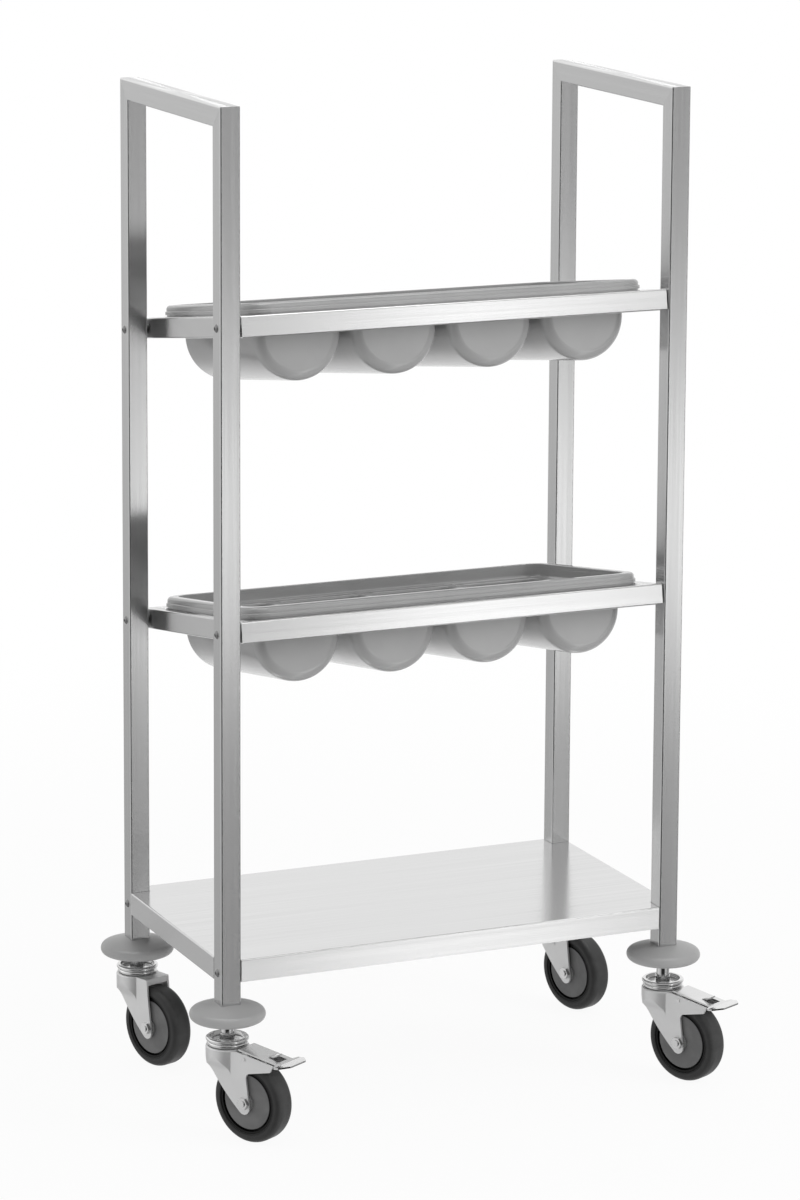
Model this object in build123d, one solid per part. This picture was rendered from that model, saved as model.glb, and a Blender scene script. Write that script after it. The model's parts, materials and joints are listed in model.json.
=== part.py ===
from build123d import *
import math
import os

# A cutlery cart on four swivel castors, in millimetres. X runs along the front from left to right, Y runs
# away from the viewer, Z is up. The origin is on the floor, under the middle of the frame.

# Square tube of the frame
frame_width = 600.0
frame_depth = 330.0
tube_size = 25.0
tube_wall = 1.2
tube_corner = 2.0

# Heights of the frame, measured up from the posts' lower ends
post_length = 1070.0
shelf_rise = 62.5
middle_tray_rise = 443.0
upper_tray_rise = 803.0

# Tray frames: how far they slope down towards the rear, and the spacers that hold them off the posts
tray_slope = 9.0
spacer_thickness = 2.0
spacer_diameter = 12.0

# Folded bottom shelf
shelf_edge_depth = 27.0
shelf_sheet = 1.5
shelf_bend = 2.0
shelf_lip_width = 11.0
shelf_post_gap = 0.5
shelf_screw_drop = 16.2

# Dome-head screws and their nuts
screw_diameter = 5.0
screw_hole_clearance = 0.2
screw_head_diameter = 10.0
screw_head_height = 2.8
screw_socket_width = 3.0
screw_socket_depth = 1.6
rivet_nut_diameter = 7.0
rivet_nut_length = 12.0
nut_width = 8.0
nut_height = 4.0
thread_end = 1.0

# Cutlery bins: how far their rims stay inside the frame, and the rim, ledge and troughs
bin_side_margin = 40.0
bin_end_margin = 20.0
bin_corner = 32.0
bin_wall = 2.5
bin_rail_gap = 1.5
seat_height = 2.2
seat_inset = 2.0
lip_height = 4.4
lip_rounding = 1.4
rim_inset = 1.6
rim_width = 16.0
rim_top_height = 13.8
rim_rounding = 5.0
rim_inner_rounding = 1.2
rim_skin = 2.0
opening_corner = 20.0
stacking_step_drop = 5.0
stacking_step_width = 1.8
ledge_depth = 3.5
ledge_rounding = 4.0
trough_count = 4
trough_side_margin = 14.0
trough_end_margin = 9.0
divider_width = 14.0
trough_depth = 80.0
trough_end_rounding = 12.0
trough_lip_rounding = 3.0
hump_length = 104.0
hump_rise = 5.0
hump_rounding = 2.0

# Bumper discs, pushed onto the posts' lower ends to slightly different heights above the castors
bumper_diameter = 90.5
bumper_edge_radius = 7.0
bumper_crown = 20.5
bumper_seat_depth = 12.5
bumper_fit = 0.1
stem_exposed = {"front_left": 20.0, "front_right": 23.5, "rear_left": 13.5, "rear_right": 13.5}

# Stem sockets in the posts
socket_length = 34.0
socket_fit = 0.1
socket_corner = 1.0

# Castor wheel
wheel_diameter = 100.0
tread_width = 28.0
tyre_shoulder = 8.0
tyre_inner_diameter = 76.0
tyre_inner_edge = 1.5
hub_disc_diameter = 67.4
hub_disc_width = 25.0
hub_disc_rounding = 1.5
hub_groove_depth = 5.0
hub_rim_width = 26.0
hub_boss_diameter = 20.0
hub_side_play = 0.4
seat_fit = 0.05

# Castor fork: its crown, the skirt below it and the two legs
castor_trail = 39.0
fork_sheet = 2.5
fork_inner_width = 31.0
crown_clearance = 5.5
crown_diameter = 52.0
crown_height = 4.7
crown_rounding = 2.2
skirt_drop = 3.0
taper_drop = 24.0
leg_front_share = 0.42
leg_front_middle = (-38.0, 19.5)
leg_front_low = (-7.0, -11.5)
leg_tip_low = (2.5, -13.5)
leg_tip_back = (7.0, -4.0)
leg_back_high = (2.5, 29.0)
leg_arm_middle = (4.0, 35.0)
leg_arm_low = (9.0, 37.5)
arm_tip_slant = 4.0
crown_step = 8.0
crown_step_slant = 2.0
leg_top_drop = 2.0
brake_arm_reach = 81.0
brake_arm_end_drop = 7.0
brake_arm_end_height = 8.5
lug_reach = 38.0
lug_depth = 7.5

# Castor axle
axle_diameter = 8.0
axle_head_width = 13.0
axle_head_height = 4.0
axle_nut_height = 4.5
axle_thread_end = 1.5
running_clearance = 0.05

# Swivel head and stem
swivel_gap = 0.3
lower_bead_diameter = 49.0
lower_bead_height = 5.2
upper_bead_diameter = 51.5
upper_bead_height = 4.8
bead_roundness = 0.45
head_recess_diameter = 42.0
head_recess_depth = 5.0
stem_diameter = 10.0
stem_engagement = 30.0
stem_collar_diameter = 16.0
stem_nut_width = 17.0
stem_nut_height = 8.0
king_pin_diameter = 22.0
king_pin_height = 3.0

# Brake pedals of the two front castors
pedal_sheet = 2.0
pedal_side_play = 0.5
pedal_tip_width = 50.0
pedal_pivot_offset = -0.5
pedal_pin_diameter = 4.5
pedal_pin_clearance = 0.95
pedal_pin_overhang = 1.0
pedal_lift = 1.0
pedal_start_gap = 2.0
pedal_bend_reach = 89.0
pedal_tip_reach = 106.0
pedal_tip_rise = 2.5
pedal_tip_chamfer = 11.0
pedal_tip_rounding = 3.0
pedal_window_start = 66.0
pedal_window_length = 17.0
pedal_window_width = 15.0
tongue_overlap = 2.0
tongue_reach = 11.0
tongue_rise = 4.5
tongue_width = 10.0
pedal_travel = 10.0
shoe_position = 60.0
shoe_thickness = 6.0
shoe_width = 18.0
shoe_gap = 0.4

# The way each castor points, in degrees from +X, as it stands
castor_angles = {"front_left": -60.0, "front_right": -65.0, "rear_left": -70.0, "rear_right": -72.0}
braked_castors = ("front_left", "front_right")
corner_signs = {"front_left": (-1, -1), "front_right": (1, -1), "rear_left": (-1, 1), "rear_right": (1, 1)}

# Heights that follow from the castor stack, up from the floor
wheel_radius = wheel_diameter / 2
crown_bottom = wheel_diameter + crown_clearance
crown_top = crown_bottom + crown_height
race_bottom = crown_top + swivel_gap
race_top = race_bottom + lower_bead_height + upper_bead_height
post_foot = race_top + max(stem_exposed.values()) + bumper_crown - bumper_seat_depth
frame_top = post_foot + post_length
shelf_top = post_foot + shelf_rise
shelf_screw_height = shelf_top - shelf_screw_drop
post_centre_x = (frame_width - tube_size) / 2
post_centre_y = (frame_depth - tube_size) / 2
post_inner_x = frame_width / 2 - tube_size
screw_hole = screw_diameter + 2 * screw_hole_clearance

# Tray frame: its outside, and the slope as sine and cosine
tray_length = frame_width - 2 * (tube_size + spacer_thickness)
slope_sin = math.sin(math.radians(tray_slope))
slope_cos = math.cos(math.radians(tray_slope))

# Bin: its outside, its opening and its troughs
bin_length = frame_width - 2 * bin_side_margin
bin_width = frame_depth - 2 * bin_end_margin
opening_length = tray_length - 2 * (tube_size + bin_rail_gap + bin_wall)
opening_width = bin_width - 2 * rim_width
trough_pitch = (bin_length - 2 * trough_side_margin) / trough_count
trough_width = trough_pitch - divider_width
trough_length = opening_width - 2 * trough_end_margin


def tray_location(rise):
    """Place of a tray frame's own axes: middle of its underside, sloping down to the rear."""
    centre_y = -frame_depth / 2 * (1 - slope_cos)
    centre_z = post_foot + rise - frame_depth / 2 * slope_sin
    return Location((0, centre_y, centre_z), (-tray_slope, 0, 0))


def rail_screw_place(rise, side_y):
    """Place along a side rail, and height above the floor, where the rail's middle passes a post's middle."""
    origin = tray_location(rise).position
    along = (side_y * post_centre_y - origin.Y - tube_size / 2 * slope_sin) / slope_cos
    height = origin.Z - along * slope_sin + tube_size / 2 * slope_cos
    return along, height


def x_cylinder(diameter, length):
    """Cylinder along X, centred."""
    return Rot(0, 90, 0) * Cylinder(diameter / 2, length)


def mitred_tube(length, start_mitre, end_mitre):
    """Square tube along X, centred, its long side facing -Y, with each end mitred or square."""
    bore = tube_size - 2 * tube_wall
    outside = RectangleRounded(tube_size, tube_size, tube_corner)
    inside = RectangleRounded(bore, bore, tube_corner - tube_wall)
    tube = extrude(Plane.YZ * (outside - inside), amount=length / 2, both=True)
    half = tube_size / 2
    cut_start = tube_size if start_mitre else 0
    cut_end = tube_size if end_mitre else 0
    side_view = make_face(
        Polyline(
            (-length / 2, -half),
            (length / 2, -half),
            (length / 2 - cut_end, half),
            (-length / 2 + cut_start, half),
            close=True,
        )
    )
    return tube & extrude(side_view, amount=tube_size, both=True)


def post(corner):
    """Upright with a mitred top and cross holes for its three screws."""
    side_x, side_y = corner_signs[corner]
    turn = Rot(0, 0, 180) if side_y > 0 else Rot(0, 0, 0)
    upright = turn * Rot(0, -90, 0) * mitred_tube(post_length, False, True)
    upright = Pos(side_x * post_centre_x, side_y * post_centre_y, post_foot + post_length / 2) * upright
    heights = [shelf_screw_height]
    heights += [rail_screw_place(rise, side_y)[1] for rise in (middle_tray_rise, upper_tray_rise)]
    for height in heights:
        hole = x_cylinder(screw_hole, 2 * tube_size)
        upright -= Pos(side_x * post_centre_x, side_y * post_centre_y, height) * hole
    return upright


def handle_bar(side_x):
    """Top bar of one U frame, mitred at both ends."""
    bar = Rot(0, 0, 90) * (Rot(-90, 0, 0) * mitred_tube(frame_depth, True, True))
    return Pos(side_x * post_centre_x, 0, frame_top - tube_size / 2) * bar


def tray_rails(rise):
    """The four mitred rails of one tray frame, by name."""
    place = tray_location(rise)
    reach_y = (frame_depth - tube_size) / 2
    reach_x = (tray_length - tube_size) / 2
    lift = tube_size / 2
    rails = {
        "front": Pos(0, -reach_y, lift) * mitred_tube(tray_length, True, True),
        "rear": Pos(0, reach_y, lift) * Rot(0, 0, 180) * mitred_tube(tray_length, True, True),
        "left": Pos(-reach_x, 0, lift) * Rot(0, 0, -90) * mitred_tube(frame_depth, True, True),
        "right": Pos(reach_x, 0, lift) * Rot(0, 0, 90) * mitred_tube(frame_depth, True, True),
    }
    for name, side_x in (("left", -1), ("right", 1)):
        for side_y in (-1, 1):
            along = rail_screw_place(rise, side_y)[0]
            hole = x_cylinder(rivet_nut_diameter, 4 * tube_wall)
            rails[name] -= Pos(side_x * tray_length / 2, along, lift) * hole
    return {name: place * rail for name, rail in rails.items()}


def shelf_outline(inset):
    """The shelf's plan, drawn in by inset, with a notch round each post."""
    notch = tube_size + shelf_post_gap + inset
    outline = Rectangle(frame_width - 2 * inset, frame_depth - 2 * inset)
    for side_x, side_y in corner_signs.values():
        corner = Pos(side_x * (frame_width / 2 - notch / 2), side_y * (frame_depth / 2 - notch / 2))
        outline -= corner * Rectangle(notch, notch)
    return outline


def bottom_shelf():
    """Folded sheet: top, edges turned down all round, and a lip turned in along each long edge."""
    shell = extrude(shelf_outline(0), amount=-shelf_edge_depth)
    top_edges = shell.edges().filter_by(GeomType.LINE).group_by(Axis.Z)[-1]
    outer_edges = [
        edge
        for edge in top_edges
        if abs(abs(edge.center().X) - frame_width / 2) < shelf_sheet
        or abs(abs(edge.center().Y) - frame_depth / 2) < shelf_sheet
    ]
    shell = fillet([edge for edge in outer_edges if edge.length > 2 * tube_size], shelf_bend)
    hollow = extrude(shelf_outline(shelf_sheet), amount=-shelf_edge_depth)
    shell -= Pos(0, 0, -shelf_sheet) * hollow
    clear = tube_size + shelf_post_gap
    lip_z = -shelf_edge_depth + shelf_sheet / 2
    for side in (-1, 1):
        long_lip = Box(frame_width - 2 * clear, shelf_lip_width, shelf_sheet)
        shell += Pos(0, side * (frame_depth - shelf_lip_width) / 2, lip_z) * long_lip
        short_lip = Box(shelf_lip_width, frame_depth - 2 * clear, shelf_sheet)
        shell += Pos(side * (frame_width - shelf_lip_width) / 2, 0, lip_z) * short_lip
    shell = Pos(0, 0, shelf_top) * shell
    for side_x, side_y in corner_signs.values():
        wall_x = side_x * (post_inner_x - shelf_post_gap - shelf_sheet / 2)
        hole = x_cylinder(screw_hole, 3 * shelf_sheet)
        shell -= Pos(wall_x, side_y * post_centre_y, shelf_screw_height) * hole
    return shell


def dome_screw(length):
    """Dome-head screw along X: the head's underside at X = 0, the head towards +X, the shank towards -X."""
    radius = (screw_head_diameter**2 / 4 + screw_head_height**2) / (2 * screw_head_height)
    ball = Pos(0, 0, screw_head_height - radius) * Sphere(radius)
    slab = Pos(0, 0, screw_head_height / 2) * Box(2 * radius, 2 * radius, screw_head_height)
    hexagon = RegularPolygon(screw_socket_width / 2, 6, major_radius=False)
    socket = extrude(hexagon, amount=2 * screw_socket_depth)
    head = (ball & slab) - Pos(0, 0, screw_head_height - screw_socket_depth) * socket
    shank = Pos(0, 0, -length / 2) * Cylinder(screw_diameter / 2, length)
    return Rot(0, 90, 0) * (head + shank)


def hex_ring(width, height, bore):
    """Hexagonal nut along Z, its lower face at Z = 0, with a round hole."""
    body = extrude(RegularPolygon(width / 2, 6, major_radius=False), amount=height)
    return body - Pos(0, 0, height / 2) * Cylinder(bore / 2, 2 * height)


def mirrored_to(side_x, shape):
    """A shape drawn for the right side, turned about Z for the left side."""
    return shape if side_x > 0 else Rot(0, 0, 180) * shape


def rail_fasteners():
    """Screws, spacers and rivet nuts that hold the tray frames, as lists of separate solids."""
    screws, spacers, rivet_nuts = [], [], []
    length = tube_size + spacer_thickness + rivet_nut_length - thread_end
    for rise in (middle_tray_rise, upper_tray_rise):
        for side_x, side_y in corner_signs.values():
            height = rail_screw_place(rise, side_y)[1]
            outer = Pos(side_x * frame_width / 2, side_y * post_centre_y, height)
            screws.append(outer * mirrored_to(side_x, dome_screw(length)))
            ring = x_cylinder(spacer_diameter, spacer_thickness) - x_cylinder(screw_hole, 2 * spacer_thickness)
            spacer_x = side_x * (post_inner_x - spacer_thickness / 2)
            spacers.append(Pos(spacer_x, side_y * post_centre_y, height) * ring)
            bush = x_cylinder(rivet_nut_diameter - 2 * screw_hole_clearance, rivet_nut_length)
            bush -= x_cylinder(screw_diameter + screw_hole_clearance, 2 * rivet_nut_length)
            bush_x = side_x * (tray_length - rivet_nut_length) / 2
            rivet_nuts.append(Pos(bush_x, side_y * post_centre_y, height) * bush)
    return screws, spacers, rivet_nuts


def shelf_fasteners():
    """Screws and nuts that hold the bottom shelf to the posts, as lists of separate solids."""
    screws, nuts = [], []
    wall_inside = post_inner_x - shelf_post_gap - shelf_sheet
    length = frame_width / 2 - wall_inside + nut_height + thread_end
    for side_x, side_y in corner_signs.values():
        outer = Pos(side_x * frame_width / 2, side_y * post_centre_y, shelf_screw_height)
        screws.append(outer * mirrored_to(side_x, dome_screw(length)))
        nut = Rot(0, -90, 0) * hex_ring(nut_width, nut_height, screw_diameter + screw_hole_clearance)
        seat = Pos(side_x * wall_inside, side_y * post_centre_y, shelf_screw_height)
        nuts.append(seat * mirrored_to(side_x, nut))
    return screws, nuts


def slab(length, width, corner, low, high):
    """Upright block with rounded plan corners between two heights."""
    return Pos(0, 0, low) * extrude(RectangleRounded(length, width, corner), amount=high - low)


def trough(width, length, depth, top, end_rounding):
    """Half-round trough along Y with straight sides up to top and rounded ends."""
    radius = width / 2
    centre_z = -depth + radius
    section = make_face(
        [
            Line((-radius, top), (-radius, centre_z)),
            ThreePointArc((-radius, centre_z), (0, -depth), (radius, centre_z)),
            Line((radius, centre_z), (radius, top)),
            Line((radius, top), (-radius, top)),
        ]
    )
    body = extrude(Plane.XZ * section, amount=length / 2, both=True)
    ends = []
    for side in (-1, 1):
        end_face = body.faces().sort_by(Axis.Y)[-1 if side > 0 else 0]
        ends += [edge for edge in end_face.edges() if edge.center().Z < top - end_rounding / 2]
    return fillet(ends, end_rounding)


def trough_positions():
    """Middle of each trough along the bin."""
    first = -(trough_count - 1) / 2 * trough_pitch
    return [first + index * trough_pitch for index in range(trough_count)]


def divider_hump():
    """Low arched hump in the middle of a divider's top, rising from the ledge."""
    half = hump_length / 2
    buried = -ledge_depth - bin_wall / 2
    section = make_face(
        [
            Line((-half, buried), (half, buried)),
            Line((half, buried), (half, -ledge_depth)),
            ThreePointArc((half, -ledge_depth), (0, hump_rise - ledge_depth), (-half, -ledge_depth)),
            Line((-half, -ledge_depth), (-half, buried)),
        ]
    )
    width = divider_width + 2 * bin_wall - 2 * trough_lip_rounding
    hump = extrude(Plane.YZ * section, amount=width / 2, both=True)
    long_edges = [edge for edge in hump.edges() if edge.geom_type == GeomType.CIRCLE]
    return fillet(long_edges, hump_rounding)


def is_trough_lip(edge):
    """Whether an edge at ledge height belongs to the mouth of a trough."""
    centre = edge.center()
    if abs(centre.Z + ledge_depth) > bumper_fit or edge.bounding_box().size.Z > bumper_fit:
        return False
    half_width = trough_width / 2 - bin_wall
    half_length = trough_length / 2 - bin_wall
    for x in trough_positions():
        across = abs(centre.X - x)
        along = abs(centre.Y)
        if across < half_width + bumper_fit and along < half_length + bumper_fit:
            if edge.geom_type == GeomType.CIRCLE:
                return edge.length < 2 * trough_end_rounding
            return half_width - across < bumper_fit or half_length - along < bumper_fit
    return False


def cutlery_bin():
    """Bin with its rim seated at Z = 0: rolled rim, inner ledge and half-round troughs."""
    body_length = opening_length + 2 * bin_wall
    body_width = opening_width + 2 * bin_wall
    lip_top = seat_height + lip_height
    seat = slab(bin_length - 2 * seat_inset, bin_width - 2 * seat_inset, bin_corner - seat_inset, 0, lip_top)
    lip = slab(bin_length, bin_width, bin_corner, seat_height, lip_top)
    lip = fillet(lip.faces().sort_by(Axis.Z)[-1].edges(), lip_rounding)
    crown_length, crown_width = bin_length - 2 * rim_inset, bin_width - 2 * rim_inset
    crown = slab(crown_length, crown_width, bin_corner - rim_inset, seat_height, rim_top_height)
    crown = fillet(crown.faces().sort_by(Axis.Z)[-1].edges(), rim_rounding)
    channel_length = bin_length - 2 * seat_inset - 2 * bin_wall
    channel_width = bin_width - 2 * seat_inset - 2 * bin_wall
    channel_top = rim_top_height - rim_rounding
    channel = slab(channel_length, channel_width, bin_corner - seat_inset - bin_wall, -1, channel_top)
    floor_z = -ledge_depth - bin_wall
    body_corner = opening_corner + bin_wall
    body = slab(body_length, body_width, body_corner, floor_z, rim_top_height - rim_skin)
    shell = (seat + lip + crown) - channel
    shell += body
    for x in trough_positions():
        shell += Pos(x, 0, 0) * trough(trough_width, trough_length, trough_depth, -ledge_depth, trough_end_rounding)
    opening = slab(opening_length, opening_width, opening_corner, -ledge_depth, rim_top_height + 1)
    shell -= fillet(opening.faces().sort_by(Axis.Z)[0].edges(), ledge_rounding)
    step_z = rim_top_height - stacking_step_drop
    wider = 2 * stacking_step_width
    step_corner = opening_corner + stacking_step_width
    shell -= slab(opening_length + wider, opening_width + wider, step_corner, step_z, rim_top_height + 1)
    top_face = shell.faces().filter_by(Axis.Z).sort_by(Axis.Z)[-1]
    shell = fillet(top_face.inner_wires()[0].edges(), rim_inner_rounding)
    inner_rounding = trough_end_rounding - bin_wall
    for x in trough_positions():
        inner = trough(trough_width - 2 * bin_wall, trough_length - 2 * bin_wall, trough_depth - bin_wall, 0, inner_rounding)
        shell -= Pos(x, 0, 0) * inner
    shell = fillet([edge for edge in shell.edges() if is_trough_lip(edge)], trough_lip_rounding)
    for x in trough_positions()[:-1]:
        shell += Pos(x + trough_pitch / 2, 0, 0) * divider_hump()
    return shell


def revolve_profile(*pieces):
    """Solid of revolution about Z from a closed outline drawn as radius and height."""
    return revolve(Plane.XZ * make_face(pieces), Axis.Z)


def bumper():
    """Round bumper disc: rounded edge, domed top, a square seat for the post and a hole for the stem."""
    edge = bumper_edge_radius
    edge_x = bumper_diameter / 2 - edge
    rise = bumper_crown - edge
    dome = (edge_x**2 - edge**2 + rise**2) / (2 * (bumper_crown - 2 * edge))
    dome_z = bumper_crown - dome
    lean = math.atan2(edge_x, edge - dome_z)
    joint = (dome * math.sin(lean), dome_z + dome * math.cos(lean))
    middle = (dome * math.sin(lean / 2), dome_z + dome * math.cos(lean / 2))
    disc = revolve_profile(
        Line((0, 0), (edge_x, 0)),
        ThreePointArc((edge_x, 0), (edge_x + edge, edge), joint),
        ThreePointArc(joint, middle, (0, bumper_crown)),
        Line((0, bumper_crown), (0, 0)),
    )
    seat = RectangleRounded(tube_size, tube_size, tube_corner)
    disc -= Pos(0, 0, bumper_crown - bumper_seat_depth) * extrude(seat, amount=bumper_seat_depth + 1)
    return disc - Cylinder(stem_diameter / 2 + bumper_fit, 3 * bumper_crown)


def stem_socket():
    """Square plug that fills the post's bore and takes the castor's stem. Its foot is at Z = 0."""
    width = tube_size - 2 * tube_wall - 2 * socket_fit
    plug = extrude(RectangleRounded(width, width, socket_corner), amount=socket_length)
    return plug - Cylinder(stem_diameter / 2 + socket_fit, 3 * socket_length)


def castor_stem(corner):
    """Stem with collar and nut above the swivel head, and the king pin below the fork's crown."""
    collar_bottom = race_top - head_recess_depth
    pin_bottom = crown_bottom - swivel_gap - king_pin_height
    stem_top = post_foot + stem_engagement
    stem = Pos(0, 0, (pin_bottom + stem_top) / 2) * Cylinder(stem_diameter / 2, stem_top - pin_bottom)
    collar_height = race_top + stem_exposed[corner] - collar_bottom
    stem += Pos(0, 0, collar_bottom + collar_height / 2) * Cylinder(stem_collar_diameter / 2, collar_height)
    nut = extrude(RegularPolygon(stem_nut_width / 2, 6, major_radius=False), amount=stem_nut_height)
    stem += Pos(0, 0, collar_bottom) * nut
    return stem + Pos(0, 0, pin_bottom + king_pin_height / 2) * Cylinder(king_pin_diameter / 2, king_pin_height)


def swivel_race():
    """Upper race of the swivel head: two rolled beads with a recess on top."""
    lower = Pos(0, 0, lower_bead_height / 2) * Cylinder(lower_bead_diameter / 2, lower_bead_height)
    lower = fillet(lower.edges().filter_by(GeomType.CIRCLE), lower_bead_height * bead_roundness)
    upper = Pos(0, 0, upper_bead_height / 2) * Cylinder(upper_bead_diameter / 2, upper_bead_height)
    upper = fillet(upper.edges().filter_by(GeomType.CIRCLE), upper_bead_height * bead_roundness)
    recess = Pos(0, 0, head_recess_depth) * Cylinder(head_recess_diameter / 2, 2 * head_recess_depth)
    recess = fillet(recess.faces().sort_by(Axis.Z)[0].edges(), head_recess_depth / 3)
    race = lower + Pos(0, 0, lower_bead_height) * upper
    race -= Pos(0, 0, race_top - race_bottom - head_recess_depth) * recess
    race -= Cylinder(stem_diameter / 2 + running_clearance, 3 * race_top)
    return Pos(0, 0, race_bottom) * race


def arm_top(reach):
    """Height of the brake arms' sloping top edge at a distance behind the swivel axis."""
    start = crown_diameter / 2
    return crown_top - brake_arm_end_drop * (reach - start) / (brake_arm_reach - start)


def from_axle(offset):
    """A point of the leg outline, measured from the wheel's axle."""
    return (castor_trail + offset[0], wheel_radius + offset[1])


def leg_outline(braked):
    """Side view of one fork leg, along the trail and up, drawn from the swivel axis at the floor."""
    top = crown_top - leg_top_drop
    crown_radius = crown_diameter / 2
    front_top = (-crown_diameter * leg_front_share, crown_bottom - skirt_drop)
    front_low, tip_back, back_high = from_axle(leg_front_low), from_axle(leg_tip_back), from_axle(leg_back_high)
    pieces = [
        ThreePointArc(front_top, from_axle(leg_front_middle), front_low),
        ThreePointArc(front_low, from_axle(leg_tip_low), tip_back),
        Line(tip_back, back_high),
    ]
    if braked:
        arm_low = from_axle(leg_arm_low)
        arm_end_low = (brake_arm_reach - arm_tip_slant, crown_top - brake_arm_end_drop - brake_arm_end_height)
        arm_end_top = (brake_arm_reach, arm_top(brake_arm_reach))
        arm_start = (crown_radius, crown_top)
        pieces += [
            ThreePointArc(back_high, from_axle(leg_arm_middle), arm_low),
            Line(arm_low, arm_end_low),
            Line(arm_end_low, arm_end_top),
            Line(arm_end_top, arm_start),
            Line(arm_start, (crown_radius - crown_step, top)),
            Line((crown_radius - crown_step, top), (front_top[0], top)),
        ]
    else:
        pieces += [
            Line(back_high, (lug_reach, crown_top)),
            Line((lug_reach, crown_top), (crown_radius - crown_step, crown_top)),
            Line((crown_radius - crown_step, crown_top), (crown_radius - crown_step - crown_step_slant, top)),
            Line((crown_radius - crown_step - crown_step_slant, top), (front_top[0], top)),
        ]
    pieces.append(Line((front_top[0], top), front_top))
    return make_face(pieces)


def fork_block(inset):
    """Space that the fork's skin encloses, drawn in by inset: round under the crown, narrow at the legs."""
    wide = crown_diameter / 2 - inset
    narrow = fork_inner_width / 2 + fork_sheet - inset
    high = crown_bottom - skirt_drop - inset
    low = high - taper_drop
    middle = (high + low) / 2
    ceiling = crown_top if inset == 0 else crown_bottom
    section = make_face(
        [
            Line((-narrow, -1), (narrow, -1)),
            Line((narrow, -1), (narrow, low)),
            Bezier((narrow, low), (narrow, middle), (wide, middle), (wide, high)),
            Line((wide, high), (wide, ceiling)),
            Line((wide, ceiling), (-wide, ceiling)),
            Line((-wide, ceiling), (-wide, high)),
            Bezier((-wide, high), (-wide, middle), (-narrow, middle), (-narrow, low)),
            Line((-narrow, low), (-narrow, -1)),
        ]
    )
    plan = Circle(wide) + Pos(brake_arm_reach, 0) * Rectangle(2 * brake_arm_reach, 2 * narrow)
    return extrude(Plane.YZ * section, amount=3 * brake_arm_reach, both=True) & extrude(plan, amount=ceiling)


def fork(braked):
    """Pressed fork: round crown with a skirt, two raked legs, and brake arms or a bent lug behind."""
    outer = fork_inner_width / 2 + fork_sheet
    side = extrude(Plane.XZ * leg_outline(braked), amount=crown_diameter / 2, both=True)
    skin = fork_block(0) & side
    skirt_height = crown_top - crown_bottom + skirt_drop
    crown = Pos(0, 0, crown_top - skirt_height / 2) * Cylinder(crown_diameter / 2, skirt_height)
    crown = fillet(crown.faces().sort_by(Axis.Z)[-1].edges(), crown_rounding)
    shape = (skin + crown) - fork_block(fork_sheet)
    behind = crown_diameter / 2 + brake_arm_reach
    shape -= Pos(behind, 0, crown_top) * Box(2 * brake_arm_reach, fork_inner_width, 2 * crown_top)
    if not braked:
        top = Pos(lug_reach / 2, 0, crown_top - fork_sheet / 2) * Box(lug_reach, 2 * outer, fork_sheet)
        lip_place = Pos(lug_reach - fork_sheet / 2, 0, crown_top - lug_depth / 2)
        shape += top + lip_place * Box(fork_sheet, 2 * outer, lug_depth)
    shape -= Pos(0, 0, crown_top) * Cylinder(stem_diameter / 2 + running_clearance, 4 * crown_height)
    axle_hole = Rot(90, 0, 0) * Cylinder(axle_diameter / 2 + running_clearance, 4 * outer)
    shape -= Pos(castor_trail, 0, wheel_radius) * axle_hole
    if braked:
        pin_hole = Rot(90, 0, 0) * Cylinder(pedal_pin_diameter / 2 + running_clearance, 4 * outer)
        shape -= Pos(*pedal_pivot()) * pin_hole
    return shape


def pedal_pivot():
    """Centre of the brake pedal's pin, in the castor's own axes."""
    pin_z = wheel_diameter + pedal_pin_clearance + pedal_pin_diameter / 2
    return (castor_trail + pedal_pivot_offset, 0, pin_z)


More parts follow.
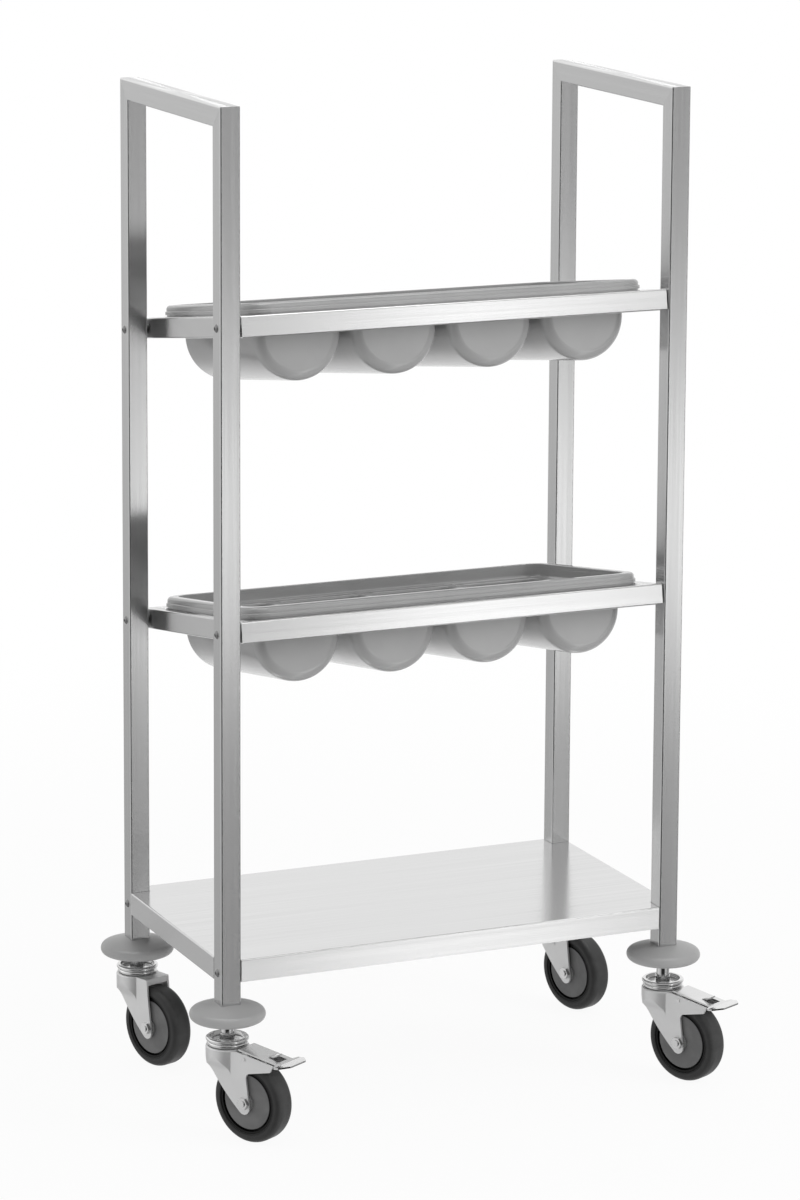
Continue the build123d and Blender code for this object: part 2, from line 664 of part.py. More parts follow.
def brake_pedal():
    """Pressed pedal: plate with a window and a raised, wider tip, two pivot cheeks and the brake shoe."""
    width = fork_inner_width - 2 * pedal_side_play
    start = crown_diameter / 2 + pedal_start_gap
    low_start = arm_top(start) + pedal_lift
    low_bend = arm_top(pedal_bend_reach) + pedal_lift
    low_tip = low_bend + pedal_tip_rise
    profile = make_face(
        Polyline(
            (start, low_start),
            (pedal_bend_reach, low_bend),
            (pedal_tip_reach, low_tip),
            (pedal_tip_reach, low_tip + pedal_sheet),
            (pedal_bend_reach, low_bend + pedal_sheet),
            (start, low_start + pedal_sheet),
            close=True,
        )
    )
    sheet = extrude(Plane.XZ * profile, amount=pedal_tip_width / 2, both=True)
    narrow, wide = width / 2, pedal_tip_width / 2
    flare_start = brake_arm_reach + 4
    plan = make_face(
        Polyline(
            (start, -narrow),
            (flare_start, -narrow),
            (flare_start + 2, -wide),
            (pedal_tip_reach - pedal_tip_chamfer, -wide),
            (pedal_tip_reach, -wide + pedal_tip_chamfer),
            (pedal_tip_reach, wide - pedal_tip_chamfer),
            (pedal_tip_reach - pedal_tip_chamfer, wide),
            (flare_start + 2, wide),
            (flare_start, narrow),
            (start, narrow),
            close=True,
        )
    )
    tip_corners = [vertex for vertex in plan.vertices() if vertex.X > flare_start + 1]
    plan = fillet(tip_corners, pedal_tip_rounding)
    window_x = pedal_window_start + pedal_window_length / 2
    plan -= Pos(window_x, 0) * Rectangle(pedal_window_length, pedal_window_width)
    plate = sheet & extrude(plan, amount=2 * crown_top)
    tongue_low = arm_top(pedal_window_start) + pedal_lift
    tongue_profile = make_face(
        Polyline(
            (pedal_window_start - tongue_overlap, tongue_low + tongue_overlap / 10),
            (pedal_window_start + tongue_reach, tongue_low + tongue_rise),
            (pedal_window_start + tongue_reach, tongue_low + tongue_rise + pedal_sheet),
            (pedal_window_start - tongue_overlap, tongue_low + pedal_sheet),
            close=True,
        )
    )
    plate += extrude(Plane.XZ * tongue_profile, amount=tongue_width / 2, both=True)
    pivot_x, _, pivot_z = pedal_pivot()
    cheek_radius = pedal_pin_diameter / 2 + pedal_pin_clearance * 0.8
    cheek_top = arm_top(pivot_x) + pedal_lift + pedal_sheet / 2
    cheek = Pos(pivot_x, 0, pivot_z) * (Rot(90, 0, 0) * Cylinder(cheek_radius, width))
    cheek += Pos(pivot_x, 0, (pivot_z + cheek_top) / 2) * Box(2 * cheek_radius, width, cheek_top - pivot_z)
    cheek -= Box(4 * pivot_x, width - 2 * pedal_sheet, 4 * pivot_z)
    hole = Rot(90, 0, 0) * Cylinder(pedal_pin_diameter / 2 + running_clearance, 2 * width)
    cheek -= Pos(pivot_x, 0, pivot_z) * hole
    shoe_near = shoe_position - shoe_thickness / 2
    shoe_far = shoe_position + shoe_thickness / 2
    tyre_z = wheel_radius + math.sqrt(wheel_radius**2 - (shoe_near - castor_trail) ** 2)
    drop = (shoe_far - pivot_x) * math.sin(math.radians(pedal_travel))
    shoe_bottom = tyre_z + drop + shoe_gap
    shoe_height = arm_top(shoe_far) + pedal_lift + pedal_sheet / 2 - shoe_bottom
    shoe = Pos(shoe_position, 0, shoe_bottom + shoe_height / 2) * Box(shoe_thickness, shoe_width, shoe_height)
    return plate + cheek + shoe


def brake_pin():
    """Pin that carries the pedal between the fork's legs."""
    length = fork_inner_width + 2 * fork_sheet + 2 * pedal_pin_overhang
    pin = Rot(90, 0, 0) * Cylinder(pedal_pin_diameter / 2, length)
    return Pos(*pedal_pivot()) * pin


def axle():
    """Axle bolt with its head on the far side and its nut on the near side, as two solids."""
    outer = fork_inner_width / 2 + fork_sheet
    shank_length = 2 * outer + axle_nut_height + axle_thread_end
    shank = Pos(0, 0, outer - shank_length / 2) * Cylinder(axle_diameter / 2, shank_length)
    head = extrude(RegularPolygon(axle_head_width / 2, 6, major_radius=False), amount=axle_head_height)
    bolt = shank + Pos(0, 0, outer) * head
    nut = hex_ring(axle_head_width, axle_nut_height, axle_diameter + 2 * running_clearance)
    nut = Pos(0, 0, -outer - axle_nut_height) * nut
    place = Pos(castor_trail, 0, wheel_radius) * Rot(-90, 0, 0)
    return [place * bolt, place * nut]


def wheel_turned(shape):
    """A wheel piece drawn about Z, laid on its axle."""
    return Pos(castor_trail, 0, wheel_radius) * Rot(90, 0, 0) * shape


def hub():
    """Wheel centre: smooth disc, a groove round it, the rim that carries the tyre, and the bore's boss."""
    rim_radius = tyre_inner_diameter / 2 - seat_fit
    core = Cylinder(rim_radius, hub_rim_width)
    disc = Cylinder(hub_disc_diameter / 2, hub_disc_width)
    disc = fillet(disc.edges().filter_by(GeomType.CIRCLE), hub_disc_rounding)
    web_width = hub_disc_width - 2 * hub_groove_depth
    wide = 2 * hub_rim_width
    bore_of_rim = rim_radius - (tyre_inner_diameter - hub_disc_diameter) / 4
    groove = Cylinder(bore_of_rim, wide) - Cylinder(bore_of_rim + 1, web_width)
    boss_width = fork_inner_width - 2 * hub_side_play
    boss = Cylinder(hub_boss_diameter / 2, boss_width)
    shape = (core - groove) + disc + boss
    return wheel_turned(shape - Cylinder(axle_diameter / 2 + running_clearance, wide))


def tyre():
    """Solid rubber tyre with rounded shoulders."""
    ring = Cylinder(wheel_radius, tread_width)
    ring = fillet(ring.edges().filter_by(GeomType.CIRCLE), tyre_shoulder)
    ring -= Cylinder(tyre_inner_diameter / 2, 2 * tread_width)
    inner_edges = [
        edge for edge in ring.edges().filter_by(GeomType.CIRCLE) if abs(edge.radius - tyre_inner_diameter / 2) < 0.01
    ]
    return wheel_turned(fillet(inner_edges, tyre_inner_edge))


def at_corner(corner, shape):
    """A piece drawn round a post's axis, moved to that post."""
    side_x, side_y = corner_signs[corner]
    return Pos(side_x * post_centre_x, side_y * post_centre_y, 0) * shape


def at_castor(corner, shape):
    """A castor piece drawn trailing along +X, turned the way this castor points and moved to its post."""
    return at_corner(corner, Rot(0, 0, castor_angles[corner]) * shape)


def build_nodes():
    """Every node of the cart by name."""
    nodes = {}
    for corner in corner_signs:
        nodes["post_" + corner] = post(corner)
        nodes["stem_socket_" + corner] = at_corner(corner, Pos(0, 0, post_foot) * stem_socket())
        nodes["bumper_" + corner] = at_corner(corner, Pos(0, 0, race_top + stem_exposed[corner]) * bumper())
    nodes["handle_bar_left"] = handle_bar(-1)
    nodes["handle_bar_right"] = handle_bar(1)
    bin_shape = cutlery_bin()
    for tray, rise in (("middle", middle_tray_rise), ("upper", upper_tray_rise)):
        for side, rail in tray_rails(rise).items():
            nodes[tray + "_rail_" + side] = rail
        nodes[tray + "_bin"] = tray_location(rise) * (Pos(0, 0, tube_size) * bin_shape)
    nodes["bottom_shelf"] = bottom_shelf()
    screws, spacers, rivet_nuts = rail_fasteners()
    nodes["rail_screws"] = Compound(children=screws)
    nodes["rail_spacers"] = Compound(children=spacers)
    nodes["rail_rivet_nuts"] = Compound(children=rivet_nuts)
    screws, nuts = shelf_fasteners()
    nodes["shelf_screws"] = Compound(children=screws)
    nodes["shelf_nuts"] = Compound(children=nuts)
    for corner in corner_signs:
        braked = corner in braked_castors
        nodes["castor_stem_" + corner] = at_corner(corner, castor_stem(corner))
        nodes["swivel_race_" + corner] = at_corner(corner, swivel_race())
        nodes["fork_" + corner] = at_castor(corner, fork(braked))
        nodes["axle_" + corner] = Compound(children=[at_castor(corner, piece) for piece in axle()])
        nodes["hub_" + corner] = at_castor(corner, hub())
        nodes["tyre_" + corner] = at_castor(corner, tyre())
        if braked:
            nodes["brake_pedal_" + corner] = at_castor(corner, brake_pedal())
            nodes["brake_pin_" + corner] = at_castor(corner, brake_pin())
    return nodes


os.makedirs("parts", exist_ok=True)
for node_name, node_shape in build_nodes().items():
    export_step(node_shape, "parts/" + node_name + ".step")
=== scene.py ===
"""Cutlery cart with two sloping trays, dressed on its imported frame."""

import json
import math

import bpy
from bpy.props import FloatProperty, FloatVectorProperty, PointerProperty
from mathutils import Matrix, Vector

bl_info = {
    "name": "Cutlery cart",
    "version": (1, 0, 0),
    "blender": (4, 5, 0),
    "location": "3D View > Sidebar > Cart",
    "description": "Finishes and finer pieces of a cutlery cart, made on its packed frame",
    "category": "Object",
}

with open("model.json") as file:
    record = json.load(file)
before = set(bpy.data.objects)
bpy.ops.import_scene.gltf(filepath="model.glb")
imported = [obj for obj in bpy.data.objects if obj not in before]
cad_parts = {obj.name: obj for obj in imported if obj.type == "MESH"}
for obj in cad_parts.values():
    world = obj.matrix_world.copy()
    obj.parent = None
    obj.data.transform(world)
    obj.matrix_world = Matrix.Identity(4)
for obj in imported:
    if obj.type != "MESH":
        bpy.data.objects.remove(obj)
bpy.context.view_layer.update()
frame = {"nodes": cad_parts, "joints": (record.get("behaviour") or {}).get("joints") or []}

CORNERS = ("front_left", "front_right", "rear_left", "rear_right")
TRAYS = ("upper", "middle")
TRAY_SLOPE = math.radians(9)
ALONG_X, ALONG_Y, ALONG_Z = 0, 1, 2

# Width of the brushing's streaks over their length, and the depths of the relief on metal and on plastic and rubber
STREAK_SQUASH = 0.004
RELIEF = 0.0002
GRAIN = 0.0003

# Distances from a wheel's axle: the disc's edge and the groove after it, painted black as shade, the tyre's inner
# edge, painted black as the groove's shade, and its grey side, its shoulder and its tread, lightened by a painted
# sheen
DISC_EDGE, GROOVE_START = 0.0325, 0.0337
TYRE_BORE, TYRE_SIDE = 0.0385, 0.0415
TYRE_SHOULDER, TYRE_TREAD = 0.045, 0.0499

# The camera's heading from the depth axis towards the right, its pitch and its roll, in degrees, and its lens shift
CAMERA_TURN = (23.83, -9.84, 0.33)
CAMERA_SHIFT = (-0.00775, -0.2)

# Corners of the round floor, and the soft lamp at the front right
FLOOR_SIDES = 96
KEY_PLACE = (2.6, -2.6, 2.1)
KEY_TARGET = (0, 0, 0.6)
KEY_SIZE = 1.6


# Settings that a user would change


def colour_setting(name, description, level):
    """A linear colour whose default is a grey of one level."""
    default = (level, level, level)
    return FloatVectorProperty(
        name=name, description=description, subtype="COLOR", size=3, min=0, max=1, default=default
    )


class SteelSettings(bpy.types.PropertyGroup):
    """Brushed stainless tubes and shelf."""

    light: colour_setting("Bright streaks", "Colour of the steel where the brushing is finest", 0.65)
    dark: colour_setting("Dark streaks", "Colour of the steel where the brushing is deepest", 0.61)
    # A dark steel: painted shade standing in for the shade in the screws' hex sockets, spread over each whole
    # fastener
    fastener: colour_setting("Screws", "Colour of the dome-head screws, spacers and nuts", 0.2)
    roughness: FloatProperty(
        name="Roughness", description="Roughness of the brushed steel", min=0, max=1, default=0.25
    )
    stretch: FloatProperty(
        name="Stretch", description="How far the brushing draws reflections out", min=0, max=1, default=1.0
    )


class PlasticSettings(bpy.types.PropertyGroup):
    """Grey plastic bins and bumpers."""

    bin: colour_setting("Bins", "Colour of the cutlery bins", 0.36)
    bumper: colour_setting("Bumpers", "Colour of the bumper discs", 0.36)


class CastorSettings(bpy.types.PropertyGroup):
    """Zinc-plated castors with rubber tyres."""

    zinc: colour_setting("Zinc", "Colour of the plated forks, races and pedals", 0.7)
    tyre: colour_setting("Tyres", "Colour of the rubber tyres", 0.035)
    centre: colour_setting("Wheel centres", "Colour of the moulded wheel centres", 0.15)


class StageSettings(bpy.types.PropertyGroup):
    """Camera, floor and light."""

    lens: FloatProperty(
        name="Lens", description="Focal length of the camera", subtype="DISTANCE_CAMERA", default=134.01
    )
    place: FloatVectorProperty(
        name="Camera place",
        description="Where the camera stands",
        subtype="XYZ",
        unit="LENGTH",
        default=(-2.137, -4.859, 1.806),
    )
    floor: colour_setting("Floor", "Colour of the floor", 0.9)
    floor_size: FloatProperty(name="Floor size", description="Radius of the floor", unit="LENGTH", default=9)
    key_power: FloatProperty(
        name="Key light", description="Power of the soft light at the front right", unit="POWER", default=40
    )


# Node trees written as expressions


class Value:
    """One output of a node. Sums and products of values add Math nodes."""

    def __init__(self, paint, socket):
        self.paint = paint
        self.socket = socket

    def __add__(self, other):
        return self.paint.maths("ADD", self, other)

    def __sub__(self, other):
        return self.paint.maths("SUBTRACT", self, other)

    def __rsub__(self, other):
        return self.paint.maths("SUBTRACT", other, self)

    def __mul__(self, other):
        return self.paint.maths("MULTIPLY", self, other)

    def __abs__(self):
        return self.paint.maths("ABSOLUTE", self)

    def between(self, low, high, start=0.0, end=1.0):
        """Smooth step: start below low, end above high."""
        sockets = {"Value": self, "From Min": low, "From Max": high, "To Min": start, "To Max": end}
        return self.paint.add("ShaderNodeMapRange", {"interpolation_type": "SMOOTHSTEP"}, sockets)

    def near(self, centre, full, none, strength=1.0):
        """Strength up to one distance from a centre, fading to nothing at another."""
        return abs(self - centre).between(full, none, strength, 0.0)


class Paint:
    """The node tree of one finish, or of the world."""

    def __init__(self, tree):
        self.tree = tree
        tree.nodes.clear()

    def add(self, kind, settings=None, sockets=None, output=0):
        """Adds a node, sets it up, fills or links its sockets and gives one of its outputs."""
        node = self.tree.nodes.new(kind)
        for name, setting in (settings or {}).items():
            setattr(node, name, setting)
        for key, content in (sockets or {}).items():
            socket = self.find(node.inputs, key)
            if isinstance(content, Value):
                self.tree.links.new(content.socket, socket)
            else:
                socket.default_value = content
        return Value(self, self.find(node.outputs, output))

    def find(self, sockets, key):
        """The socket with a number or a name, among those that the node's settings leave in use."""
        if isinstance(key, int):
            in_use = [socket for socket in sockets if socket.enabled]
            return in_use[key]
        return next(socket for socket in sockets if socket.enabled and socket.name == key)

    def maths(self, operation, *terms):
        """Result of a Math node."""
        return self.add("ShaderNodeMath", {"operation": operation}, dict(enumerate(terms)))

    def vector_maths(self, operation, *terms, output="Vector"):
        """Result of a Vector Math node."""
        return self.add("ShaderNodeVectorMath", {"operation": operation}, dict(enumerate(terms)), output)

    def part_of(self, vector, axis):
        """One component of a vector."""
        return self.add("ShaderNodeSeparateXYZ", None, {"Vector": vector}, axis)

    def ray_is(self, kind):
        """1 for light paths of a kind, such as Camera, and 0 for the others."""
        return self.add("ShaderNodeLightPath", output=f"Is {kind} Ray")

    def blend(self, factor, first, second):
        """Colour between two colours."""
        sockets = {"Factor": factor, "A": colour(first), "B": colour(second)}
        return self.add("ShaderNodeMix", {"data_type": "RGBA"}, sockets)

    def place(self, scale=(1, 1, 1), turn=(0, 0, 0)):
        """The point on the piece, in its own axes, scaled and turned."""
        point = self.add("ShaderNodeTexCoord", output="Object")
        turned = self.add("ShaderNodeMapping", None, {"Vector": point, "Rotation": turn})
        return self.vector_maths("MULTIPLY", turned, scale)

    def noise(self, point, size, detail=2.0):
        """Noise from 0 to 1 with grains of about one over size."""
        return self.add("ShaderNodeTexNoise", None, {"Vector": point, "Scale": size, "Detail": detail})

    def bump(self, height, strength, depth):
        """Normal of a surface with small heights."""
        return self.add("ShaderNodeBump", None, {"Height": height, "Strength": strength, "Distance": depth}, "Normal")

    def shader(self, sockets):
        """Principled shader with its sockets given by name."""
        return self.add("ShaderNodeBsdfPrincipled", None, sockets)

    def mix_shaders(self, factor, first, second):
        """First shader where the factor is 0, second where it is 1."""
        return self.add("ShaderNodeMixShader", None, {0: factor, 1: first, 2: second})

    def give(self, shader, kind="ShaderNodeOutputMaterial"):
        """Links a shader to the tree's output."""
        node = self.tree.nodes.new(kind)
        self.tree.links.new(shader.socket, node.inputs["Surface"])


def colour(content):
    """A colour socket's content from three numbers, or a linked value unchanged."""
    return content if isinstance(content, Value) else (*content, 1)


def finish(name, build):
    """A material whose surface is the shader that build(paint) gives."""
    material = bpy.data.materials.new(name)
    material.use_nodes = True
    paint = Paint(material.node_tree)
    paint.give(build(paint))
    return material


# Finishes


def brushed_steel(name, direction, slope=0.0):
    """Stainless tube brushed along one axis on its flat sides, with smoother rounded corners."""
    steel = bpy.context.scene.cart_steel

    def build(paint):
        side = brushed_shader(paint, steel, direction, slope)
        clouds = paint.noise(paint.place(), 90)
        corner = paint.shader(
            {
                "Base Color": paint.blend(clouds.between(0.3, 0.7), steel.dark, steel.light),
                "Metallic": 1.0,
                "Roughness": clouds.between(0.3, 0.7, 0.1, 0.16),
            }
        )
        return paint.mix_shaders(squareness(paint).between(0.9, 0.96), corner, side)

    return finish(name, build)


def squareness(paint):
    """How squarely the surface faces along X, Y or Z: 1 on a flat side, less on a rounded corner."""
    sizes = paint.vector_maths("ABSOLUTE", paint.add("ShaderNodeNewGeometry", output="Normal"))
    x, y, z = (paint.part_of(sizes, axis) for axis in "XYZ")
    return paint.maths("MAXIMUM", paint.maths("MAXIMUM", x, y), z)


def brushed_shader(paint, steel, direction, slope=0.0):
    """Steel with fine streaks along one axis, which draw reflections out across them."""
    scale = [1.0, 1.0, 1.0]
    scale[direction] = STREAK_SQUASH
    point = paint.place(scale, (-slope, 0, 0))
    fine = paint.noise(point, 1400)
    broad = paint.noise(point, 160, 3)
    streak = fine * 0.45 + broad * 0.55
    return paint.shader(
        {
            "Base Color": paint.blend(streak.between(0.3, 0.7), steel.dark, steel.light),
            "Metallic": 1.0,
            "Roughness": streak.between(0.3, 0.7, steel.roughness + 0.012, steel.roughness - 0.012),
            "Anisotropic": steel.stretch,
            "Anisotropic Rotation": 0.0 if direction == ALONG_Z else 0.25,
            "Normal": paint.bump(fine, 0.08, RELIEF),
        }
    )


def sheet_steel(name):
    """Stainless sheet brushed along X: its upright edges mirror as the tubes do, its flat top more evenly."""
    steel = bpy.context.scene.cart_steel

    def build(paint):
        edge = brushed_shader(paint, steel, ALONG_X)
        streak = paint.noise(paint.place((STREAK_SQUASH, 1, 1)), 420, 3)
        top = paint.shader(
            {
                "Base Color": paint.blend(streak.between(0.3, 0.7), steel.dark, steel.light),
                "Metallic": 1.0,
                "Roughness": streak.between(0.3, 0.7, 0.2, 0.15),
                "Normal": paint.bump(streak, 0.12, RELIEF),
            }
        )
        normal = paint.add("ShaderNodeNewGeometry", output="Normal")
        return paint.mix_shaders(abs(paint.part_of(normal, "Z")).between(0.6, 0.9), edge, top)

    return finish(name, build)


def zinc_plate(name, level, roughness, metallic=1.0):
    """Zinc plating with faint clouds, bright as on a race or satin as on a fork."""

    def build(paint):
        point = paint.place()
        clouds = paint.noise(point, 35)
        grain = paint.noise(point, 3000)
        return paint.shader(
            {
                "Base Color": paint.blend(clouds.between(0.3, 0.7), shade(level, 0.95), level),
                "Metallic": metallic,
                "Roughness": clouds.between(0.35, 0.7, roughness - 0.02, roughness + 0.03),
                "Normal": paint.bump(grain, 0.02, RELIEF),
            }
        )

    return finish(name, build)


def moulded_plastic(name, level, roughness, gloss=0.5):
    """Moulded plastic with a fine satin texture."""

    def build(paint):
        point = paint.place()
        clouds = paint.noise(point, 14, 3)
        texture = paint.noise(point, 1500)
        return paint.shader(
            {
                "Base Color": paint.blend(clouds.between(0.35, 0.65), shade(level, 0.96), shade(level, 1.03)),
                "Roughness": texture.between(0.3, 0.7, roughness - 0.04, roughness + 0.04),
                "Specular IOR Level": gloss,
                "Normal": paint.bump(texture, 0.05, GRAIN),
            }
        )

    return finish(name, build)


def shade(level, factor):
    """A colour made darker or lighter by a factor."""
    return [factor * part for part in level]


def off_axle(paint, corner):
    """Distance of the point from the line of a wheel's axle."""
    spin = next(joint for joint in frame["joints"] if joint["name"] == "wheel_spin_" + corner)
    away = paint.vector_maths("SUBTRACT", paint.place(), spin["pos_m"])
    across = paint.vector_maths("CROSS_PRODUCT", away, spin["axis"])
    return paint.vector_maths("LENGTH", across, output="Value")


def tyre_rubber(corner, level):
    """Matt rubber, with painted shade making it black where it meets the wheel centre, and a painted sheen making it
    lighter towards the tread, where patches of dust also lighten it.
    """

    def build(paint):
        point = paint.place()
        dust = paint.noise(point, 60, 4)
        texture = paint.noise(point, 1800)
        radius = off_axle(paint, corner)
        # Painted shade and painted sheen: black at the inner edge where the groove's shade falls, greying over the
        # side, lighter over the shoulder and tread
        side = radius.between(TYRE_BORE, TYRE_SIDE, 0.0, 0.55)
        groove_shade_and_tread_sheen = side + radius.between(TYRE_SHOULDER, TYRE_TREAD, 0.0, 0.45)
        clean_with_painted_shade_and_sheen = paint.blend(groove_shade_and_tread_sheen, shade(level, 0.1), shade(level, 1.5))
        dusty_with_painted_shade_and_sheen = paint.blend(groove_shade_and_tread_sheen, shade(level, 0.12), shade(level, 1.8))
        return paint.shader(
            {
                "Base Color": paint.blend(dust.between(0.35, 0.7), clean_with_painted_shade_and_sheen, dusty_with_painted_shade_and_sheen),
                "Roughness": dust.between(0.35, 0.7, 0.42, 0.5),
                "Specular IOR Level": 0.25,
                "Normal": paint.bump(texture, 0.15, GRAIN),
            }
        )

    return finish("rubber_tyre_" + corner, build)


def wheel_centre_plastic(corner, level):
    """Moulded plastic of a wheel centre: faint turning marks on the disc, and painted shade making the groove and rim
    black.
    """

    def build(paint):
        clouds = paint.noise(paint.place(), 40, 3)
        radius = off_axle(paint, corner)
        rings = paint.noise(paint.add("ShaderNodeCombineXYZ", None, {"X": radius}), 2500)
        disc = paint.blend(clouds.between(0.35, 0.65), shade(level, 0.9), shade(level, 1.1))
        return paint.shader(
            {
                # Painted shade: the groove and rim turn black from the disc's edge outwards, standing in for the
                # groove's shadow
                "Base Color": paint.blend(radius.between(DISC_EDGE, GROOVE_START), disc, shade(level, 0.03)),
                "Roughness": clouds.between(0.3, 0.7, 0.38, 0.46),
                "Specular IOR Level": 0.2,
                "Normal": paint.bump(rings, 0.15, GRAIN),
            }
        )

    return finish("plastic_wheel_centre_" + corner, build)


def coat(node, material):
    """Gives a CAD node its finish."""
    for slot in frame["nodes"][node].material_slots:
        slot.material = material


# Operators


class CART_OT_stage(bpy.types.Operator):
    """Camera, floor and soft light round the cart"""

    bl_idname = "cart.stage"
    bl_label = "Stage"

    def execute(self, context):
        stage = context.scene.cart_stage
        self.make_camera(context, stage)
        self.make_floor(context, stage)
        self.make_world(context)
        self.make_key_light(context, stage)
        context.scene.view_settings.view_transform = "Standard"
        return {"FINISHED"}

    def make_camera(self, context, stage):
        """Camera at the photograph's angle, with the lens shift that its framing needs."""
        data = bpy.data.cameras.new("camera")
        data.lens = stage.lens
        data.shift_x, data.shift_y = CAMERA_SHIFT
        data.clip_start, data.clip_end = 0.1, 100
        camera = bpy.data.objects.new("camera", data)
        context.scene.collection.objects.link(camera)
        heading, pitch, roll = (math.radians(angle) for angle in CAMERA_TURN)
        forward = Vector(
            (math.sin(heading) * math.cos(pitch), math.cos(heading) * math.cos(pitch), math.sin(pitch))
        )
        level = forward.cross(Vector((0, 0, 1))).normalized()
        right = Matrix.Rotation(-roll, 3, forward) @ level
        up = right.cross(forward)
        turn = Matrix((right, up, -forward)).transposed()
        camera.matrix_world = Matrix.Translation(stage.place) @ turn.to_4x4()
        context.scene.camera = camera

    def make_floor(self, context, stage):
        """Round floor: white to the camera but for a faint shadow, and clear to what metal mirrors."""
        mesh = bpy.data.meshes.new("floor")
        angles = [2 * math.pi * side / FLOOR_SIDES for side in range(FLOOR_SIDES)]
        ring = [(math.cos(angle) * stage.floor_size, math.sin(angle) * stage.floor_size, 0) for angle in angles]
        mesh.from_pydata(ring, [], [list(range(FLOOR_SIDES))])
        floor = bpy.data.objects.new("floor", mesh)
        context.scene.collection.objects.link(floor)
        mesh.materials.append(finish("floor_white", lambda paint: self.floor_shader(paint, stage)))

    def floor_shader(self, paint, stage):
        """White glow over a little lit floor, so that the cart's shadow shows faintly and fades out further away."""
        point = paint.add("ShaderNodeTexCoord", output="Object")
        distance = paint.vector_maths("LENGTH", point, output="Value")
        diffuse = paint.add("ShaderNodeBsdfDiffuse", None, {"Color": (*stage.floor, 1)})
        glow = paint.add("ShaderNodeEmission", None, {"Color": (1, 1, 1, 1), "Strength": 1.0})
        seen = paint.ray_is("Camera")
        whiteness = distance.between(0.9, 2.3, 0.93, 1.0)
        shown = paint.mix_shaders(seen * whiteness + (1 - seen) * 0.5, diffuse, glow)
        return paint.mix_shaders(paint.ray_is("Glossy"), shown, paint.add("ShaderNodeBsdfTransparent"))

    def make_world(self, context):
        """White to the camera, an even studio for soft light, and a graded one for what metal mirrors."""
        world = bpy.data.worlds.new("studio")
        world.use_nodes = True
        context.scene.world = world
        paint = Paint(world.node_tree)
        glossy, camera = paint.ray_is("Glossy"), paint.ray_is("Camera")
        way = paint.add("ShaderNodeTexCoord", output="Generated")
        even = paint.part_of(way, "Z").between(-0.3, 0.3, 0.95, 0.72)
        strength = (self.mirrored(paint, way) * glossy + even * (1 - glossy)) * (1 - camera) + camera
        background = paint.add("ShaderNodeBackground", None, {"Color": (1, 1, 1, 1), "Strength": strength})
        paint.give(background, "ShaderNodeOutputWorld")

    def mirrored(self, paint, way):
        """The studio that metal mirrors, by azimuth from the front towards the right and by elevation."""
        rightward, height = paint.part_of(way, "X"), paint.part_of(way, "Z")
        forward = 0 - paint.part_of(way, "Y")
        azimuth = paint.maths("ARCTAN2", rightward, forward)
        elevation = paint.maths("ARCSINE", height)
        # The room: darker in front of the cart than behind it, and brightest at the rear right
        front = elevation.between(-0.3, -0.08, 0.3, 0.38) + elevation.between(-0.02, 0.3, 0.0, 0.2)
        rear_left = elevation.between(-0.32, -0.1, 0.5, 0.7) + elevation.between(-0.1, 0.25, 0.0, 0.45)
        to_right = rightward.between(-0.25, 0.15)
        rear = rear_left * (1 - to_right) + to_right * 1.08
        facing = forward.between(-0.75, 0.3)
        room = front * facing + rear * (1 - facing)
        # Bright panels: a wide one on the left, a narrow strip and a low patch at the front right, one overhead
        left = azimuth.near(-1.75, 0.35, 0.8, 0.35)
        strip = azimuth.near(0.433, 0.012, 0.07, 1.6)
        patch_width = azimuth.near(0.55, 0.0, 0.5, 2.1)
        patch = patch_width * elevation.between(-0.24, -0.228) * elevation.between(-0.215, -0.14, 1.0, 0.0)
        overhead = height.between(0.85, 0.96, 0.0, 4.0)
        # The dark side of the room, low down at the front left
        dark_width = azimuth.near(-0.44, 0.4, 0.62)
        dark_height = elevation.between(-0.55, -0.4) * elevation.between(0.05, 0.2, 1.0, 0.0)
        return (room + left + strip + patch + overhead) * (1 - dark_width * dark_height * 0.95)

    def make_key_light(self, context, stage):
        """Soft square lamp turned to the middle of the cart, which metal doesn't mirror."""
        data = bpy.data.lights.new("key_light", "AREA")
        data.size = KEY_SIZE
        data.energy = stage.key_power
        lamp = bpy.data.objects.new("key_light", data)
        context.scene.collection.objects.link(lamp)
        lamp.location = KEY_PLACE
        lamp.rotation_mode = "QUATERNION"
        lamp.rotation_quaternion = (Vector(KEY_PLACE) - Vector(KEY_TARGET)).to_track_quat("Z", "Y")
        lamp.visible_glossy = False


class CART_OT_steel_frame(bpy.types.Operator):
    """Brushed steel on the posts, handle bars, tray rails and shelf"""

    bl_idname = "cart.steel_frame"
    bl_label = "Steel frame"

    def execute(self, context):
        upright = brushed_steel("steel_brushed_upright", ALONG_Z)
        across = brushed_steel("steel_brushed_across", ALONG_X)
        handle = brushed_steel("steel_brushed_handle", ALONG_Y)
        sloping = brushed_steel("steel_brushed_sloping", ALONG_Y, TRAY_SLOPE)
        for corner in CORNERS:
            coat("post_" + corner, upright)
        for side in ("left", "right"):
            coat("handle_bar_" + side, handle)
            for tray in TRAYS:
                coat(f"{tray}_rail_{side}", sloping)
        for tray in TRAYS:
            coat(tray + "_rail_front", across)
            coat(tray + "_rail_rear", across)
        coat("bottom_shelf", sheet_steel("steel_brushed_sheet"))
        return {"FINISHED"}


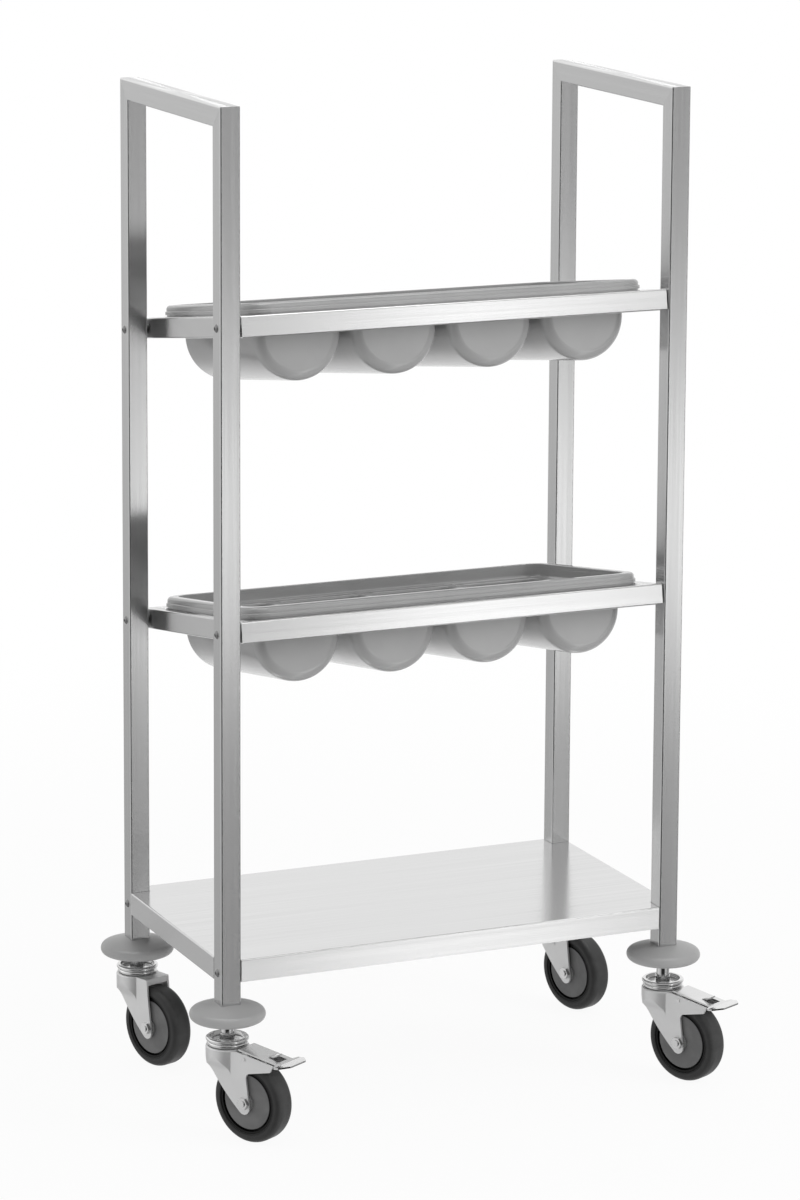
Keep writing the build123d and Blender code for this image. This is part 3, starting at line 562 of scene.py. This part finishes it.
class CART_OT_fasteners(bpy.types.Operator):
    """Steel screws, spacers and nuts"""

    bl_idname = "cart.fasteners"
    bl_label = "Fasteners"

    def execute(self, context):
        # Screws, spacers and nuts are darkened overall: painted shade standing in for the shade in the hex sockets
        bright = zinc_plate("steel_fastener", context.scene.cart_steel.fastener, 0.14)
        for node in ("rail_screws", "shelf_screws", "rail_spacers", "rail_rivet_nuts", "shelf_nuts"):
            coat(node, bright)
        nylon = moulded_plastic("nylon_socket", (0.03, 0.03, 0.03), 0.5)
        for corner in CORNERS:
            coat("stem_socket_" + corner, nylon)
        return {"FINISHED"}


class CART_OT_bins(bpy.types.Operator):
    """Grey moulded cutlery bins"""

    bl_idname = "cart.bins"
    bl_label = "Bins"

    def execute(self, context):
        plastic = moulded_plastic("plastic_bin", context.scene.cart_plastic.bin, 0.16, 0.8)
        for tray in TRAYS:
            coat(tray + "_bin", plastic)
        return {"FINISHED"}


class CART_OT_bumpers(bpy.types.Operator):
    """Grey bumper discs"""

    bl_idname = "cart.bumpers"
    bl_label = "Bumpers"

    def execute(self, context):
        plastic = moulded_plastic("plastic_bumper", context.scene.cart_plastic.bumper, 0.42)
        for corner in CORNERS:
            coat("bumper_" + corner, plastic)
        return {"FINISHED"}


class CART_OT_castors(bpy.types.Operator):
    """Zinc-plated forks, races and pedals, and rubber wheels"""

    bl_idname = "cart.castors"
    bl_label = "Castors"

    def execute(self, context):
        castor = context.scene.cart_castors
        bright = zinc_plate("zinc_bright", castor.zinc, 0.16)
        satin = zinc_plate("zinc_satin", castor.zinc, 0.4, 0.6)
        for corner in CORNERS:
            for node in ("castor_stem_", "swivel_race_", "axle_"):
                coat(node + corner, bright)
            coat("fork_" + corner, satin)
            if corner.startswith("front"):
                coat("brake_pedal_" + corner, bright)
                coat("brake_pin_" + corner, bright)
            coat("hub_" + corner, wheel_centre_plastic(corner, castor.centre))
            coat("tyre_" + corner, tyre_rubber(corner, castor.tyre))
        return {"FINISHED"}


class CART_PT_panel(bpy.types.Panel):
    """The cart's pieces, in the order in which they are made"""

    bl_idname = "CART_PT_panel"
    bl_label = "Cutlery cart"
    bl_space_type = "VIEW_3D"
    bl_region_type = "UI"
    bl_category = "Cart"

    def draw(self, context):
        for operator in OPERATORS:
            self.layout.operator(operator.bl_idname)
        for name in SETTINGS:
            box = self.layout.box()
            settings = getattr(context.scene, name)
            for key in settings.__annotations__:
                box.prop(settings, key)


SETTINGS = {
    "cart_steel": SteelSettings,
    "cart_plastic": PlasticSettings,
    "cart_castors": CastorSettings,
    "cart_stage": StageSettings,
}
OPERATORS = (
    CART_OT_stage,
    CART_OT_steel_frame,
    CART_OT_fasteners,
    CART_OT_bins,
    CART_OT_bumpers,
    CART_OT_castors,
)


def register():
    for name, group in SETTINGS.items():
        bpy.utils.register_class(group)
        setattr(bpy.types.Scene, name, PointerProperty(type=group))
    for operator in OPERATORS:
        bpy.utils.register_class(operator)
    bpy.utils.register_class(CART_PT_panel)


def unregister():
    bpy.utils.unregister_class(CART_PT_panel)
    for operator in reversed(OPERATORS):
        bpy.utils.unregister_class(operator)
    for name, group in SETTINGS.items():
        delattr(bpy.types.Scene, name)
        bpy.utils.unregister_class(group)


def main():
    register()
    bpy.ops.cart.stage()
    bpy.ops.cart.steel_frame()
    bpy.ops.cart.fasteners()
    bpy.ops.cart.bins()
    bpy.ops.cart.bumpers()
    bpy.ops.cart.castors()


if __name__ == "__main__":
    main()
